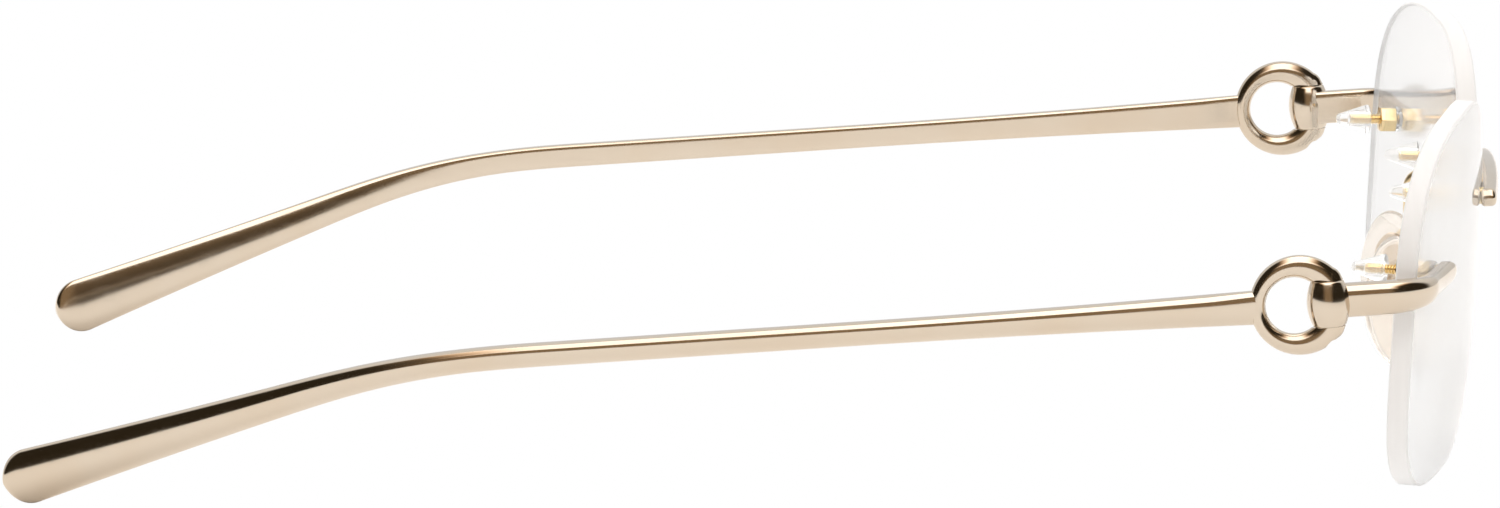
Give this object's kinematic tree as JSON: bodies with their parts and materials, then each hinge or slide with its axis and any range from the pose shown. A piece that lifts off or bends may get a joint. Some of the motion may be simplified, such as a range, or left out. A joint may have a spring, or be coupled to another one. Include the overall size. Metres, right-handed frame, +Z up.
{
  "type": "rimless eyeglasses",
  "caption": "Rimless eyeglasses: clear drilled lenses on a slim bridge, folding temples with open ring hinges, and rocking clear nose pads.",
  "frame": {"origin": "middle of the bounding box at its bottom, on the surface that the lens bottoms and temple tips rest on", "axes": "+X towards the wearer's left, lenses face -Y and the open temples run back along +Y, +Z up"},
  "size_m": [0.1384, 0.155, 0.0373],
  "materials": {
    "pale_gold": "polished pale gold plating",
    "lens": "clear polished lens",
    "clear_plastic": "clear moulded plastic",
    "pad": "clear glossy nose pad"
  },
  "bodies": {
    "front": {"lens_right": "lens", "lens_left": "lens", "end_piece_right": "pale_gold", "end_piece_left": "pale_gold", "outer_stud_right": "pale_gold", "outer_stud_left": "pale_gold", "inner_stud_right": "pale_gold", "inner_stud_left": "pale_gold", "outer_bush_right": "clear_plastic", "outer_bush_left": "clear_plastic", "inner_bush_right": "clear_plastic", "inner_bush_left": "clear_plastic", "outer_nut_right": "pale_gold", "outer_nut_left": "pale_gold", "inner_nut_right": "pale_gold", "inner_nut_left": "pale_gold", "outer_cap_right": "clear_plastic", "outer_cap_left": "clear_plastic", "inner_cap_right": "clear_plastic", "inner_cap_left": "clear_plastic", "pad_arm_right": "pale_gold", "pad_arm_left": "pale_gold", "pad_screw_right": "pale_gold", "pad_screw_left": "pale_gold", "bridge": "pale_gold"},
    "temple_right": {"temple_right": "pale_gold", "hinge_screw_right": "pale_gold"},
    "temple_left": {"temple_left": "pale_gold", "hinge_screw_left": "pale_gold"},
    "nose_pad_right": {"nose_pad_right": "pad", "pad_core_right": "pale_gold"},
    "nose_pad_left": {"nose_pad_left": "pad", "pad_core_left": "pale_gold"}
  },
  "joints": [
    {"name": "right_temple_fold", "type": "hinge", "parent": "front", "child": "temple_right", "pos_m": [-0.067, -0.05865, 0.02232], "axis": [0, -0.063, -0.998], "range_deg": [0, 74]},
    {"name": "left_temple_fold", "type": "hinge", "parent": "front", "child": "temple_left", "pos_m": [0.067, -0.05865, 0.02232], "axis": [0, 0.063, 0.998], "range_deg": [0, 86]},
    {"name": "right_pad_rock", "type": "hinge", "parent": "front", "child": "nose_pad_right", "pos_m": [-0.01193, -0.06781, 0.01536], "axis": [0.3967, -0.9173, -0.0344], "range_deg": [-8, 8]},
    {"name": "left_pad_rock", "type": "hinge", "parent": "front", "child": "nose_pad_left", "pos_m": [0.01193, -0.06781, 0.01536], "axis": [-0.3967, -0.9173, -0.0344], "range_deg": [-8, 8]}
  ]
}
